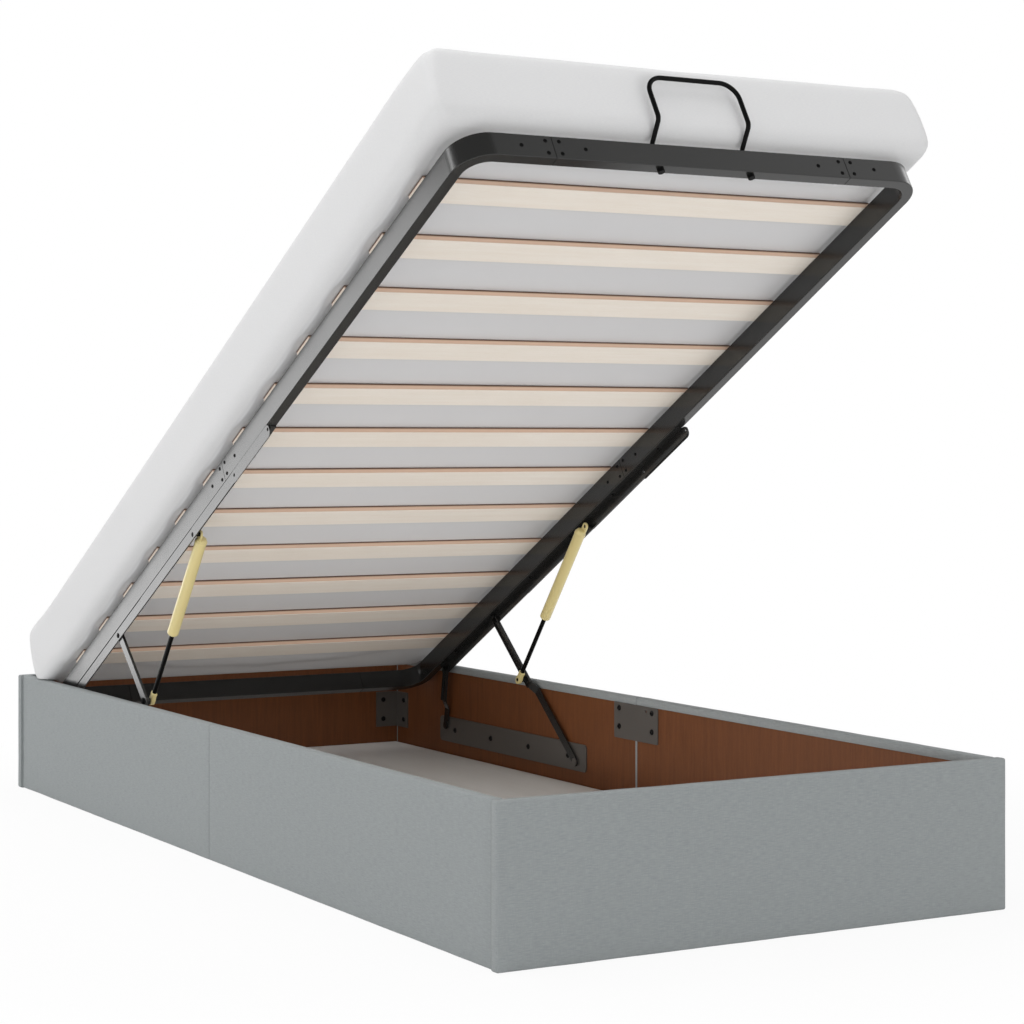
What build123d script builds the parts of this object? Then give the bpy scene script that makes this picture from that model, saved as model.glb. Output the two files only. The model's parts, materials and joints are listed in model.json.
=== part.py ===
from build123d import *
import math
import os

# Ottoman bed, in millimetres. The foot end faces -Y, the floor is Z = 0 and the bed stands open.
# The origin lies on the floor under the middle of the base.

# Base
base_width = 930.0
base_length = 2030.0
base_height = 240.0
board = 16.0
cover = 1.8
cover_round = 1.5
cover_wrap = 15.0
side_setback = 5.0
board_seam = 0.6

# Storage floor
ledger_width = 18.0
ledger_height_share = 0.08
ledger_lift_share = 0.075
floor_panel = 5.0
floor_gap = 2.0
beam_width = 40.0

# Plates and brackets on the boards
plate = 2.5
joining_plate_length = 152.0
joining_plate_height = 70.0
joining_plate_top = 11.0
joining_bolt_spacing = 114.0
joining_bolt_inset = 17.0
bracket_leg = 55.0
bracket_height = 80.0
bracket_lift = 80.0
bracket_bolt_inset = 18.0
mechanism_plate = 3.0
mechanism_plate_height_share = 0.23
mechanism_plate_margin = 34.0
mechanism_bolt_count = 4
bolt_head_radius = 5.5
bolt_head = 2.6
bolt_radius = 3.0
bolt_length = 12.0
bolt_sides = 8

# Frame under the mattress
frame_side_gap = 10.4
frame_end_gap = 5.4
rail_depth = 40.6
rail_width = 19.6
rail_wall = 1.5
rail_corner = 56.0
rail_seam = 0.5
foot_rail_half = 274.0
splice_length = 150.0

# Slats
slat_count = 12
slat_width = 53.0
slat_thickness = 12.0
slat_round = 2.0
slat_end_inset = 1.0
first_slat = 158.0

# Mattress
mattress_overhang = 36.0
mattress_end_overhang = 17.0
mattress_thickness = 139.0
mattress_crown = 5.0
mattress_corner = 24.0
mattress_low_corner = 70.0
mattress_edge = 40.0

# Lift handle, a bent rod through the foot rail
handle_spacing = 169.0
rod_radius = 3.75
handle_stub = 6.0
handle_lean = 35.4
handle_lean_rise = 24.0
handle_top = 149.0
handle_corner = 30.0
handle_foot_bend = 6.0
handle_knee_bend = 14.0
nut_radius = 5.6
nut_height = 6.0

# Lift gear, measured from the tail end of the frame and below its underside
lift_angle = 29.63
open_tail_back = 139.9
open_tail_drop = 61.4
closed_rim_step = 4.4
top_plate_end = 110.0
top_plate_length = 1087.0
top_plate_leg = 2.0
top_plate_flange = 21.0
front_pivot_back = 383.0
rear_pivot_back = 135.0
arm_pivot_drop = 12.0
front_arm_angle = 41.4
rear_arm_length = 129.0
arm_width = 18.0
arm_wall = 2.0
arm_channel = 5.5
arm_joggle_start = 20.0
arm_joggle_length = 18.0
rear_joggle_start = 38.0
stud_height = 3.2
pin_radius = 5.0
pin_head_radius = 8.0
pin_head = 2.0
face_gap = 0.3
running_gap = 0.05

# Gas strut
strut_top_back = 812.5
strut_top_drop = 13.5
strut_arm_distance = 171.0
strut_arm_offset = 4.0
strut_inset = 20.5
strut_radius = 11.0
strut_body = 230.0
strut_body_start = 11.0
strut_dome = 4.0
strut_lower_edge = 1.0
strut_rod_radius = 4.5
strut_rod_inside = 60.0
strut_pin_radius = 3.5
tang_thickness = 4.0
tang_radius = 7.5
tang_offset = 5.5
eye_thickness = 9.0
eye_length = 21.0
eye_below = 11.0
eye_width = 13.0
overrun = 5.0

# Derived places
half_width = base_width / 2
half_length = base_length / 2
wall = board + 2 * cover
side_outer = half_width - side_setback
side_inner = side_outer - wall
core_inner = side_outer - cover - board
end_inner = half_length - wall
end_core_inner = half_length - cover - board
frame_half_width = side_inner - frame_side_gap
frame_length = 2 * (end_inner - frame_end_gap)
ledger_height = base_height * ledger_height_share
ledger_lift = base_height * ledger_lift_share
mechanism_plate_height = base_height * mechanism_plate_height_share
floor_top = cover + ledger_lift + ledger_height
slat_pitch = (frame_length - 2 * first_slat) / (slat_count - 1)
flange_inner = frame_half_width - plate
arm_outer = flange_inner - face_gap
stud_face = core_inner - mechanism_plate
low_arm_outer = stud_face - stud_height
strut_x = frame_half_width - strut_inset
closed_height = base_height - rail_depth - closed_rim_step
closed_foot = Vector(0, -frame_length / 2, closed_height)
lean = math.radians(lift_angle)
open_tail = Vector(0, end_inner - open_tail_back, base_height - open_tail_drop)
open_foot = open_tail - Vector(0, math.cos(lean), -math.sin(lean)) * frame_length
open_frame = Location(open_foot, (-lift_angle, 0, 0))
closed_frame = Location(closed_foot)
inward = Vector(-1, 0, 0)


def on_frame(frame, back, drop):
    """Side-view point, back from the frame's tail end and drop below its underside."""
    return (frame * Location((0, frame_length - back, -drop))).position


def turn_of(vector):
    """Angle of a side-view vector from +Y towards +Z, in degrees."""
    return math.degrees(math.atan2(vector.Z, vector.Y))


def turned(vector, angle):
    """Side-view vector turned about X by an angle in degrees."""
    return vector.rotate(Axis.X, angle)


# Four-bar linkage: both arms' upper pivots in the two end positions give the lower pivots
front_top = on_frame(open_frame, front_pivot_back, arm_pivot_drop)
front_top_closed = on_frame(closed_frame, front_pivot_back, arm_pivot_drop)
down_arm = turned(Vector(0, -1, 0), front_arm_angle)
front_travel = front_top_closed - front_top
front_arm_length = front_travel.dot(front_travel) / (2 * front_travel.dot(down_arm))
front_low = front_top + down_arm * front_arm_length
front_turn = turn_of(front_top_closed - front_low) - turn_of(front_top - front_low)

rear_top = on_frame(open_frame, rear_pivot_back, arm_pivot_drop)
rear_top_closed = on_frame(closed_frame, rear_pivot_back, arm_pivot_drop)
rear_travel = rear_top_closed - rear_top
rear_reach = math.sqrt(rear_arm_length**2 - (rear_travel.length / 2) ** 2)
rear_low = (rear_top + rear_top_closed) / 2 + turned(rear_travel, -90).normalized() * rear_reach
rear_turn = turn_of(rear_top_closed - rear_low) - turn_of(rear_top - rear_low)

strut_top = on_frame(open_frame, strut_top_back, strut_top_drop)
strut_top_closed = on_frame(closed_frame, strut_top_back, strut_top_drop)
strut_low = front_top + down_arm * strut_arm_distance + turned(down_arm, 90) * strut_arm_offset
strut_low_closed = front_low + turned(strut_low - front_low, front_turn)
strut_open = strut_low - strut_top
strut_closed = strut_low_closed - strut_top_closed
strut_turn = turn_of(strut_closed) - turn_of(strut_open)
strut_travel = strut_closed.length - strut_open.length


def block(x0, x1, y0, y1, z0, z1):
    """Box between two corners."""
    corner = (Align.MIN, Align.MIN, Align.MIN)
    return Pos(x0, y0, z0) * Box(x1 - x0, y1 - y0, z1 - z0, align=corner)


def rod_between(radius, start, end):
    """Round bar from one point to another."""
    way = Vector(end) - Vector(start)
    place = Plane(origin=start, z_dir=way)
    return place * Cylinder(radius, way.length, align=(Align.CENTER, Align.CENTER, Align.MIN))


def cross_pin(radius, x0, x1, place):
    """Round pin along X at a side-view point."""
    return rod_between(radius, (x0, place.Y, place.Z), (x1, place.Y, place.Z))


def bolt_bar(radius, start, end):
    """Bar with few sides, for bolts and their holes."""
    way = end - start
    section = Plane(origin=start, z_dir=way) * RegularPolygon(radius, bolt_sides)
    return extrude(section, way.length, dir=way.normalized())


def bolt(place, way):
    """Bolt with its head standing out of a face and its shank behind it."""
    head = bolt_bar(bolt_head_radius, place, place + way * bolt_head)
    return head + bolt_bar(bolt_radius, place, place - way * bolt_length)


def bolt_hole(place, way, behind):
    """Cut for a bolt's shank, from in front of its seat to a depth behind it."""
    return bolt_bar(bolt_radius + running_gap, place + way * overrun, place - way * behind)


def mirrored(shape):
    return mirror(shape, about=Plane.YZ)


def both(shape):
    """A right-hand piece and its left-hand twin, as separate solids."""
    return Compound(children=[*shape.solids(), *mirrored(shape).solids()])


def save(name, shape):
    solids = shape.solids()
    whole = solids[0] if len(solids) == 1 else Compound(children=solids)
    whole.label = name
    export_step(whole, f"parts/{name}.step")


def save_sides(name, shape):
    save(f"{name}_right", shape)
    save(f"{name}_left", mirrored(shape))


# Boards, with the fabric cover round each one and down its inner face


def padded_block(x0, x1, y0, y1):
    whole = block(x0, x1, y0, y1, 0, base_height)
    low = whole.edges().group_by(Axis.Z)[0]
    return fillet(whole.edges() - low, cover_round)


def end_board():
    """Foot board: its core and its cover, open on the inner face."""
    core = block(-half_width + cover, half_width - cover, -half_length + cover, -end_core_inner,
                 cover, base_height - cover)
    window = block(-core_inner, core_inner, -end_core_inner - cover / 2, -end_inner + overrun,
                   cover_wrap, base_height - cover_wrap)
    skin = padded_block(-half_width, half_width, -half_length, -end_inner) - core - window
    return core, skin


def side_board():
    """Right-hand front side board: its core and its cover, open on the inner face."""
    y0 = -end_inner
    y1 = -board_seam / 2
    core = block(core_inner, side_outer - cover, y0 + cover, y1 - cover, cover, base_height - cover)
    window = block(side_inner - overrun, core_inner + cover / 2, y0 - overrun, y1 + overrun,
                   cover_wrap, base_height - cover_wrap)
    window -= block(core_inner, core_inner + cover, y0 - overrun, y0 + cover, 0, base_height)
    window -= block(core_inner, core_inner + cover, y1 - cover, y1 + overrun, 0, base_height)
    skin = padded_block(side_inner, side_outer, y0, y1) - core - window
    return core, skin


def joining_plate():
    """Right-hand flat plate across the seam of the side boards."""
    top = base_height - cover_wrap
    low = top - joining_plate_height
    half = joining_plate_length / 2
    shape = block(core_inner - plate, core_inner, -half, half, low, top)
    for place in joining_bolt_places():
        shape -= bolt_hole(place, inward, overrun)
    return shape


def joining_bolt_places():
    top = base_height - cover_wrap - joining_plate_top
    rows = (top, top - joining_plate_height + 2 * joining_bolt_inset)
    columns = (-joining_bolt_spacing / 2, joining_bolt_spacing / 2)
    return [Vector(core_inner - plate, y, z) for y in columns for z in rows]


def corner_bracket():
    """Right-hand angle that joins the side board to the foot board."""
    z0 = bracket_lift
    z1 = bracket_lift + bracket_height
    on_side = block(core_inner - plate, core_inner, -end_core_inner, -end_core_inner + bracket_leg, z0, z1)
    on_end = block(core_inner - bracket_leg, core_inner, -end_core_inner, -end_core_inner + plate, z0, z1)
    shape = on_side + on_end
    for place, way in bracket_bolt_places():
        shape -= bolt_hole(place, way, overrun)
    return shape


def bracket_bolt_places():
    along = Vector(0, 1, 0)
    rows = (bracket_lift + bracket_bolt_inset, bracket_lift + bracket_height - bracket_bolt_inset)
    reach = bracket_leg - bracket_bolt_inset
    places = [(Vector(core_inner - plate, -end_core_inner + reach, z), inward) for z in rows]
    places += [(Vector(core_inner - reach, -end_core_inner + plate, z), along) for z in rows]
    return places


def mechanism_bounds():
    """Lowest and highest Y and Z of the plate that carries both arms."""
    middle = (front_low.Z + rear_low.Z) / 2
    low = middle - mechanism_plate_height / 2
    return front_low.Y - mechanism_plate_margin, rear_low.Y + mechanism_plate_margin, low, \
        low + mechanism_plate_height


def mechanism_bolt_places():
    y0, y1, z0, z1 = mechanism_bounds()
    start = y0 + 2 * mechanism_plate_margin
    step = (y1 - 2 * mechanism_plate_margin - start) / (mechanism_bolt_count - 1)
    return [Vector(stud_face, start + step * number, (z0 + z1) / 2) for number in range(mechanism_bolt_count)]


def base_plate():
    """Right-hand plate on the side board with the two arm studs' seats."""
    y0, y1, z0, z1 = mechanism_bounds()
    outline = Plane.YZ * Pos((y0 + y1) / 2, (z0 + z1) / 2) * RectangleRounded(y1 - y0, z1 - z0, arm_width / 2)
    shape = Pos(stud_face, 0, 0) * extrude(outline, mechanism_plate)
    for place in mechanism_bolt_places():
        shape -= bolt_hole(place, inward, overrun)
    return shape


def board_bolts():
    """All bolts that go into the right-hand boards."""
    shapes = [bolt(place, inward) for place in joining_bolt_places() + mechanism_bolt_places()]
    for place, way in bracket_bolt_places():
        front = bolt(place, way)
        shapes += [front, mirror(front, about=Plane.XZ)]
    return shapes


def bolt_holes():
    """Cuts for the bolts' shanks in the right-hand boards."""
    depth = bolt_length + face_gap
    cuts = [bolt_hole(place, inward, depth) for place in joining_bolt_places() + mechanism_bolt_places()]
    for place, way in bracket_bolt_places():
        front = bolt_hole(place, way, depth)
        cuts += [front, mirror(front, about=Plane.XZ)]
    return cuts


def build_base():
    holes = bolt_holes()
    twins = [mirrored(hole) for hole in holes]
    foot, foot_skin = end_board()
    for name, core, skin in (("foot", foot, foot_skin),
                             ("head", mirror(foot, about=Plane.XZ), mirror(foot_skin, about=Plane.XZ))):
        save(f"{name}_board", core - holes - twins)
        save(f"{name}_board_cover", skin)
    front, front_skin = side_board()
    for name, core, skin in (("front", front, front_skin),
                             ("rear", mirror(front, about=Plane.XZ), mirror(front_skin, about=Plane.XZ))):
        save_sides(f"side_board_{name}", core - holes)
        save_sides(f"side_cover_{name}", skin)
    save_sides("joining_plate", joining_plate())
    bracket = both(corner_bracket())
    save("corner_brackets_foot", bracket)
    save("corner_brackets_head", mirror(bracket, about=Plane.XZ))
    save_sides("mechanism_plate", base_plate())
    bolts = Compound(children=board_bolts())
    save("board_bolts", both(bolts))


def build_floor():
    """Ledgers, middle beam and the two panels that close the storage space."""
    z0 = cover + ledger_lift
    ledger = block(core_inner - ledger_width, core_inner, -end_core_inner + floor_gap,
                   end_core_inner - floor_gap, z0, floor_top)
    save("floor_ledgers", both(ledger))
    reach = core_inner - ledger_width
    save("floor_beam", block(-reach, reach, -beam_width / 2, beam_width / 2, z0, floor_top))
    edge = stud_face - floor_gap
    front = block(-edge, edge, -end_core_inner + floor_gap, -floor_gap / 2, floor_top, floor_top + floor_panel)
    save("floor_panel_front", front)
    save("floor_panel_rear", mirror(front, about=Plane.XZ))


# Lift gear, built for the right-hand side in the open position


def arm(low, top, joggle_start, channel_end):
    """Pressed arm: a channel beside the frame that joggles out to a flat foot on the base."""
    length = (top - low).length
    way = (top - low).normalized()
    side = Plane(origin=low, x_dir=way, z_dir=Vector(1, 0, 0))
    plan = Plane(origin=low, x_dir=way, z_dir=way.cross(Vector(1, 0, 0)))
    half = arm_width / 2
    joggle_end = joggle_start + arm_joggle_length
    inner = [(-half, low_arm_outer - arm_wall), (joggle_start, low_arm_outer - arm_wall),
             (joggle_end, arm_outer - arm_wall), (length + half, arm_outer - arm_wall)]
    outer = [(s, x + arm_wall) for s, x in reversed(inner)]
    strip = extrude(plan * make_face(Polyline(*inner, *outer, close=True)), half, both=True)
    outline = Pos(length / 2, 0) * SlotCenterToCenter(length, arm_width)
    web = strip & extrude(side * outline, low_arm_outer)
    lips = []
    for edge in (-1, 1):
        middle = edge * (half - arm_wall / 2)
        centre = Pos((joggle_end + channel_end) / 2, middle)
        lip = side * centre * Rectangle(channel_end - joggle_end, arm_wall)
        lips.append(Pos(arm_outer - arm_channel, 0, 0) * extrude(lip, arm_channel))
    shape = web + lips
    return shape


def front_arm():
    """Front arm with the stub that faces the strut's lower eye."""
    sections = arm(front_low, front_top, front_arm_length - strut_arm_distance - arm_joggle_start
                   - arm_joggle_length, front_arm_length)
    inner_face = arm_outer - arm_wall
    stub_end = strut_x + eye_thickness / 2 + face_gap
    shape = sections + cross_pin(strut_pin_radius + arm_wall, stub_end, inner_face, strut_low)
    shape -= cross_pin(pin_radius + running_gap, inner_face - overrun, arm_outer + overrun, front_top)
    low_inner = low_arm_outer - arm_wall
    shape -= cross_pin(pin_radius + running_gap, low_inner - overrun, low_arm_outer + overrun, front_low)
    return shape


def rear_arm():
    """Rear arm, with the rivet of its lower pivot, which faces the stud on the base."""
    shape = arm(rear_low, rear_top, rear_joggle_start, rear_arm_length)
    low_inner = low_arm_outer - arm_wall
    shape += cross_pin(pin_head_radius, low_inner - pin_head, low_inner, rear_low)
    inner_face = arm_outer - arm_wall
    shape -= cross_pin(pin_radius + running_gap, inner_face - overrun, arm_outer + overrun, rear_top)
    return shape


def base_studs():
    """Pivot studs on the base plate: the front one holds its arm, the rear one faces its arm."""
    low_inner = low_arm_outer - arm_wall
    collar = low_arm_outer + face_gap
    front = cross_pin(pin_head_radius, collar, stud_face, front_low)
    front += cross_pin(pin_radius, low_inner - face_gap, collar, front_low)
    front += cross_pin(pin_head_radius, low_inner - face_gap - pin_head, low_inner - face_gap, front_low)
    rear = cross_pin(pin_head_radius, collar, stud_face, rear_low)
    return Compound(children=[*front.solids(), *rear.solids()])


def frame_pins():
    """Pins on the frame's flange: two arm pivots and the strut's upper pivot."""
    inner_face = arm_outer - arm_wall - face_gap
    shapes = []
    for place in (front_top, rear_top):
        pin = cross_pin(pin_radius, inner_face, frame_half_width, place)
        pin += cross_pin(pin_head_radius - arm_wall, inner_face - pin_head, inner_face, place)
        shapes.append(pin)
    tang_inner = strut_x + tang_offset - tang_thickness / 2
    shapes.append(cross_pin(strut_pin_radius, tang_inner + tang_thickness / 4, frame_half_width, strut_top))
    return Compound(children=shapes)


def strut_point(along):
    """Point on the right-hand strut's axis, from its upper pivot."""
    place = strut_top + strut_open.normalized() * along
    return Vector(strut_x, place.Y, place.Z)


def tang(place, way, reach, width, x0, x1, hole):
    """Flat eye with a hole: a round end at the pivot and a straight neck along the strut."""
    side = Plane(origin=(x0, place.Y, place.Z), x_dir=way, z_dir=Vector(1, 0, 0))
    outline = Circle(width / 2) + Pos(reach / 2, 0) * Rectangle(reach, width)
    return extrude(side * (outline - Circle(hole)), x1 - x0)


def strut_cylinder():
    """Pressure tube with a domed upper end and its tang."""
    start = strut_point(strut_body_start)
    end = strut_point(strut_body_start + strut_body)
    tube = rod_between(strut_radius, start, end)
    rims = tube.edges().filter_by(GeomType.CIRCLE).sort_by(Axis.Z)
    tube = fillet(rims[-1], strut_dome)
    tube = chamfer(tube.edges().filter_by(GeomType.CIRCLE).sort_by(Axis.Z)[0], strut_lower_edge)
    bore_start = strut_point(strut_body_start + strut_body - strut_rod_inside + strut_travel - face_gap)
    tube -= rod_between(strut_rod_radius + running_gap, bore_start, end + strut_open.normalized() * overrun)
    x0 = strut_x + tang_offset - tang_thickness / 2
    way = strut_open.normalized()
    reach = strut_body_start + strut_dome
    eye = tang(strut_top, way, reach, 2 * tang_radius, x0, x0 + tang_thickness,
               strut_pin_radius + running_gap)
    return tube + eye


def strut_rod():
    low = strut_open.length - eye_length
    return rod_between(strut_rod_radius, strut_point(strut_body_start + strut_body - strut_rod_inside),
                       strut_point(low))


def strut_eye():
    """Flat lower eye, screwed on the rod's end."""
    way = -strut_open.normalized()
    x0 = strut_x - eye_thickness / 2
    shape = tang(strut_low, way, eye_below, eye_width, x0, x0 + eye_thickness, strut_pin_radius)
    collar = strut_point(strut_open.length - eye_length)
    neck = strut_point(strut_open.length - eye_below)
    return shape + rod_between(eye_thickness / 2, collar, neck)


def build_lift():
    save_sides("front_arm", front_arm())
    save_sides("rear_arm", rear_arm())
    save("base_studs", both(base_studs()))
    save("frame_pins", both(frame_pins()))
    save_sides("strut_cylinder", strut_cylinder())
    save_sides("strut_rod", strut_rod())
    save_sides("strut_eye", strut_eye())


# Frame pieces, built flat with the foot end at y = 0 and the underside at z = 0, then raised


def ring(outset, inset, z0, z1):
    """Rounded frame outline between two offsets from the outer face."""
    middle = Pos(0, frame_length / 2, z0)
    outer = RectangleRounded(2 * (frame_half_width - outset), frame_length - 2 * outset, rail_corner - outset)
    inner = RectangleRounded(2 * (frame_half_width - inset), frame_length - 2 * inset, rail_corner - inset)
    return middle * extrude(outer - inner, z1 - z0)


def frame_tube(x0, x1, y0, y1):
    """Length of the frame's tube between two sides of a rectangle."""
    tube = ring(0, rail_width, 0, rail_depth)
    tube -= ring(rail_wall, rail_width - rail_wall, rail_wall, rail_depth - rail_wall)
    return tube & block(x0, x1, y0, y1, -overrun, rail_depth + overrun)


def end_rail():
    """Straight rail across the foot end."""
    half = foot_rail_half - rail_seam / 2
    return frame_tube(-half, half, -overrun, rail_corner)


def corner_rail():
    """Right-hand rail from the foot rail round the corner to the middle of the side."""
    half = rail_seam / 2
    return frame_tube(foot_rail_half + half, frame_half_width + overrun, -overrun, frame_length / 2 - half)


def sleeves():
    """Box sleeves inside the tube at the six seams."""
    gap = rail_wall + face_gap
    outer = ring(gap, rail_width - gap, gap, rail_depth - gap)
    outer -= ring(gap + rail_wall, rail_width - gap - rail_wall, gap + rail_wall, rail_depth - gap - rail_wall)
    half = splice_length / 2
    middle = frame_length / 2
    side = outer & block(0, frame_half_width, middle - half, middle + half, 0, rail_depth)
    foot = outer & block(foot_rail_half - half, foot_rail_half + half, 0, rail_corner, 0, rail_depth)
    tail = mirror(foot, about=Plane.XZ.offset(-middle))
    return both(Compound(children=[side, foot, tail]))


def handle_path():
    half = handle_spacing / 2
    y = rail_width / 2
    out = y - handle_lean
    top = rail_depth + handle_stub
    knee = top + handle_lean_rise
    left = [(-half, y, -nut_height / 2), (-half, y, top), (-half, out, knee), (-half, out, handle_top)]
    right = [(-x, y1, z) for x, y1, z in reversed(left)]
    bends = [handle_foot_bend, handle_knee_bend, handle_corner]
    return FilletPolyline(*left, *right, radius=bends + bends[::-1])


def handle_cuts():
    half = handle_spacing / 2
    y = rail_width / 2
    return [rod_between(rod_radius + face_gap, (x, y, -overrun), (x, y, rail_depth + overrun))
            for x in (-half, half)]


def lift_handle():
    path = handle_path()
    section = Plane(origin=path @ 0, z_dir=path % 0) * Circle(rod_radius)
    return sweep(section, path=path)


def handle_nuts():
    half = handle_spacing / 2
    y = rail_width / 2
    nuts = []
    for x in (-half, half):
        nut = rod_between(nut_radius, (x, y, 0), (x, y, -nut_height))
        nut -= rod_between(rod_radius + running_gap, (x, y, overrun), (x, y, -nut_height / 2 - face_gap))
        nuts.append(nut)
    return Compound(children=nuts)


def top_plate():
    """Right-hand angle: a leg under the rail and a flange flush with its outer face."""
    y1 = frame_length - top_plate_end
    y0 = y1 - top_plate_length
    leg = block(frame_half_width - rail_width, frame_half_width, y0, y1, -top_plate_leg, 0)
    flange = block(flange_inner, frame_half_width, y0, y1, -top_plate_flange, 0)
    corners = flange.edges().filter_by(Axis.X).group_by(Axis.Z)[0]
    flange = chamfer(corners, top_plate_flange / 2)
    shape = leg + flange
    for back, drop, radius in ((front_pivot_back, arm_pivot_drop, pin_radius),
                               (rear_pivot_back, arm_pivot_drop, pin_radius),
                               (strut_top_back, strut_top_drop, strut_pin_radius)):
        place = Vector(0, frame_length - back, -drop)
        shape -= cross_pin(radius + running_gap, flange_inner - overrun, frame_half_width + overrun, place)
    return shape


def slat(number):
    middle = first_slat + slat_pitch * number
    half = slat_width / 2
    reach = frame_half_width - slat_end_inset
    shape = block(-reach, reach, middle - half, middle + half, rail_depth, rail_depth + slat_thickness)
    return fillet(shape.edges().filter_by(Axis.X), slat_round)


def mattress():
    """Closed pad: flat below, drawn in at both edges and crowned on top. Its lower corners clear the base."""
    low = rail_depth + slat_thickness + face_gap
    width = 2 * (frame_half_width + mattress_overhang)
    length = frame_length + 2 * mattress_end_overhang
    rise_shares = (0, 0.04, 0.12, 0.29, 0.68, 0.86, 0.95, 1)
    inset_shares = (1, 0.49, 0.19, 0, 0, 0.19, 0.5, 1.1)
    low_share = 0.2
    sections = []
    for rise_share, inset_share in zip(rise_shares, inset_shares):
        inset = mattress_edge * inset_share
        corner = mattress_corner if rise_share > low_share else mattress_low_corner
        outline = RectangleRounded(width - 2 * inset, length - 2 * inset, corner)
        sections.append(Pos(0, frame_length / 2, low + mattress_thickness * rise_share) * outline)
    crown_shares = ((0.7, 1.9), (1, 4.0))
    for rise_share, inset_share in crown_shares:
        inset = mattress_edge * inset_share
        z = low + mattress_thickness + mattress_crown * rise_share
        outline = RectangleRounded(width - 2 * inset, length - 2 * inset, mattress_corner)
        sections.append(Pos(0, frame_length / 2, z) * outline)
    return loft(sections, ruled=True)


def save_raised(name, shape):
    save(name, open_frame * shape)


def save_raised_sides(name, shape):
    save_raised(f"{name}_right", shape)
    save_raised(f"{name}_left", mirrored(shape))


def build_frame():
    middle = Plane.XZ.offset(-frame_length / 2)
    save_raised("foot_rail", end_rail() - handle_cuts())
    save_raised("tail_rail", mirror(end_rail(), about=middle))
    save_raised_sides("corner_rail_foot", corner_rail())
    save_raised_sides("corner_rail_tail", mirror(corner_rail(), about=middle))
    save_raised("splice_sleeves", sleeves())
    save_raised_sides("top_plate", top_plate())
    save_raised("lift_handle", lift_handle())
    save_raised("handle_nuts", handle_nuts())
    for number in range(slat_count):
        save_raised(f"slat_{number + 1:02d}", slat(number))
    save_raised("mattress", mattress())


def report_linkage():
    """Pivots in metres and travels, for the joints."""
    for name, place in (("front_low", front_low), ("front_top", front_top), ("rear_low", rear_low),
                        ("rear_top", rear_top), ("strut_top", strut_top), ("strut_low", strut_low)):
        print(name, round(place.Y / 1000, 6), round(place.Z / 1000, 6))
    way = strut_open.normalized()
    print("front turn", round(front_turn, 4), "rear turn", round(rear_turn, 4), "strut turn", round(strut_turn, 4))
    print("strut", round(strut_open.length, 3), round(strut_closed.length, 3), "travel", round(strut_travel, 3))
    print("strut axis", round(way.Y, 6), round(way.Z, 6), "front arm", round(front_arm_length, 2))
    print("strut spare when closed", round(strut_closed.length - strut_body_start - strut_body - eye_length, 2))


os.makedirs("parts", exist_ok=True)
build_base()
build_floor()
build_lift()
build_frame()
report_linkage()
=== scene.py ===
import json
import math

import bmesh
import bpy
from mathutils import Matrix, Vector, noise


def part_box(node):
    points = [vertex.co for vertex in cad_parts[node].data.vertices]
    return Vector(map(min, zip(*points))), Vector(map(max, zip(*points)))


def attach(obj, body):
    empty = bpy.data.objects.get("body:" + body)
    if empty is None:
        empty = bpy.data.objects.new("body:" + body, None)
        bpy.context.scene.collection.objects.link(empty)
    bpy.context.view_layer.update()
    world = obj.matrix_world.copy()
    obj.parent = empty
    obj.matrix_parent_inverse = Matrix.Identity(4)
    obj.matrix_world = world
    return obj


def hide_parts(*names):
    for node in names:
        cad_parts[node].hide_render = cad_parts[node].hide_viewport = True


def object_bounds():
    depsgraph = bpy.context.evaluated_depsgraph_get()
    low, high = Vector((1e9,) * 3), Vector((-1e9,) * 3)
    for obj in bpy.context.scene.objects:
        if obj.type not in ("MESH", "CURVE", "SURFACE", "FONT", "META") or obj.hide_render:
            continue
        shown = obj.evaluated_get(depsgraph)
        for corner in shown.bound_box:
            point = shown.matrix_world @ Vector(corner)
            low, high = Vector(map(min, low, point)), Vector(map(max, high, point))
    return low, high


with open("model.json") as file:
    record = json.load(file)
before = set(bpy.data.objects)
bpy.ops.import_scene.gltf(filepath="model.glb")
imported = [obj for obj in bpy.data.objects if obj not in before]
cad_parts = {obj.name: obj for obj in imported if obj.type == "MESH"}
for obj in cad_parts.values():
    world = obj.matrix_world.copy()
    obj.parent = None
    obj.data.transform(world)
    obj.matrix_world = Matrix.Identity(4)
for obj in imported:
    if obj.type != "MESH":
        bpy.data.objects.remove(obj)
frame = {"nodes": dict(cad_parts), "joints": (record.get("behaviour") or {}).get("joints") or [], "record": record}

cad_low, cad_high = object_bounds()
nodes = frame["nodes"]
scene = bpy.context.scene
MM = 0.001
SIDES = (("left", -1), ("right", 1))

# The lifted frame's own coordinates: x across, y from the foot end, z up from its underside

LIFT_ANGLE = math.radians(29.63)
RAIL_DEPTH = 40.6 * MM
foot_low, foot_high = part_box("foot_rail")
raised_origin = (0, foot_low.y, foot_high.z - RAIL_DEPTH * math.cos(LIFT_ANGLE))
raised = Matrix.Translation(raised_origin) @ Matrix.Rotation(-LIFT_ANGLE, 4, "X")
lowered = raised.inverted()


def raised_box(*names):
    """Lowest and highest corner of some frame nodes, in the frame's own coordinates."""
    points = [lowered @ v.co for name in names for v in nodes[name].data.vertices]
    return Vector(map(min, *points)), Vector(map(max, *points))


rail_far = raised_box("foot_rail", "tail_rail", "corner_rail_foot_left", "corner_rail_foot_right")[1]
half_width = rail_far.x
frame_length = rail_far.y
foot_rail_half = raised_box("foot_rail")[1].x
angle_low, angle_high = raised_box("top_plate_right")
slat_names = sorted(name for name in nodes if name.startswith("slat_"))
slat_boxes = [raised_box(name) for name in slat_names]


# Camera and light

IMAGE_SIZE = 1024
FOCAL_PIXELS = 2365.07
PRINCIPAL_X = 442.84
PRINCIPAL_Y = 440.12
CAMERA_PLACE = Vector((-2.1175, -3.8456, 0.7405))
CAMERA_YAW = math.radians(28.9676)
SENSOR = 36.0

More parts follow.
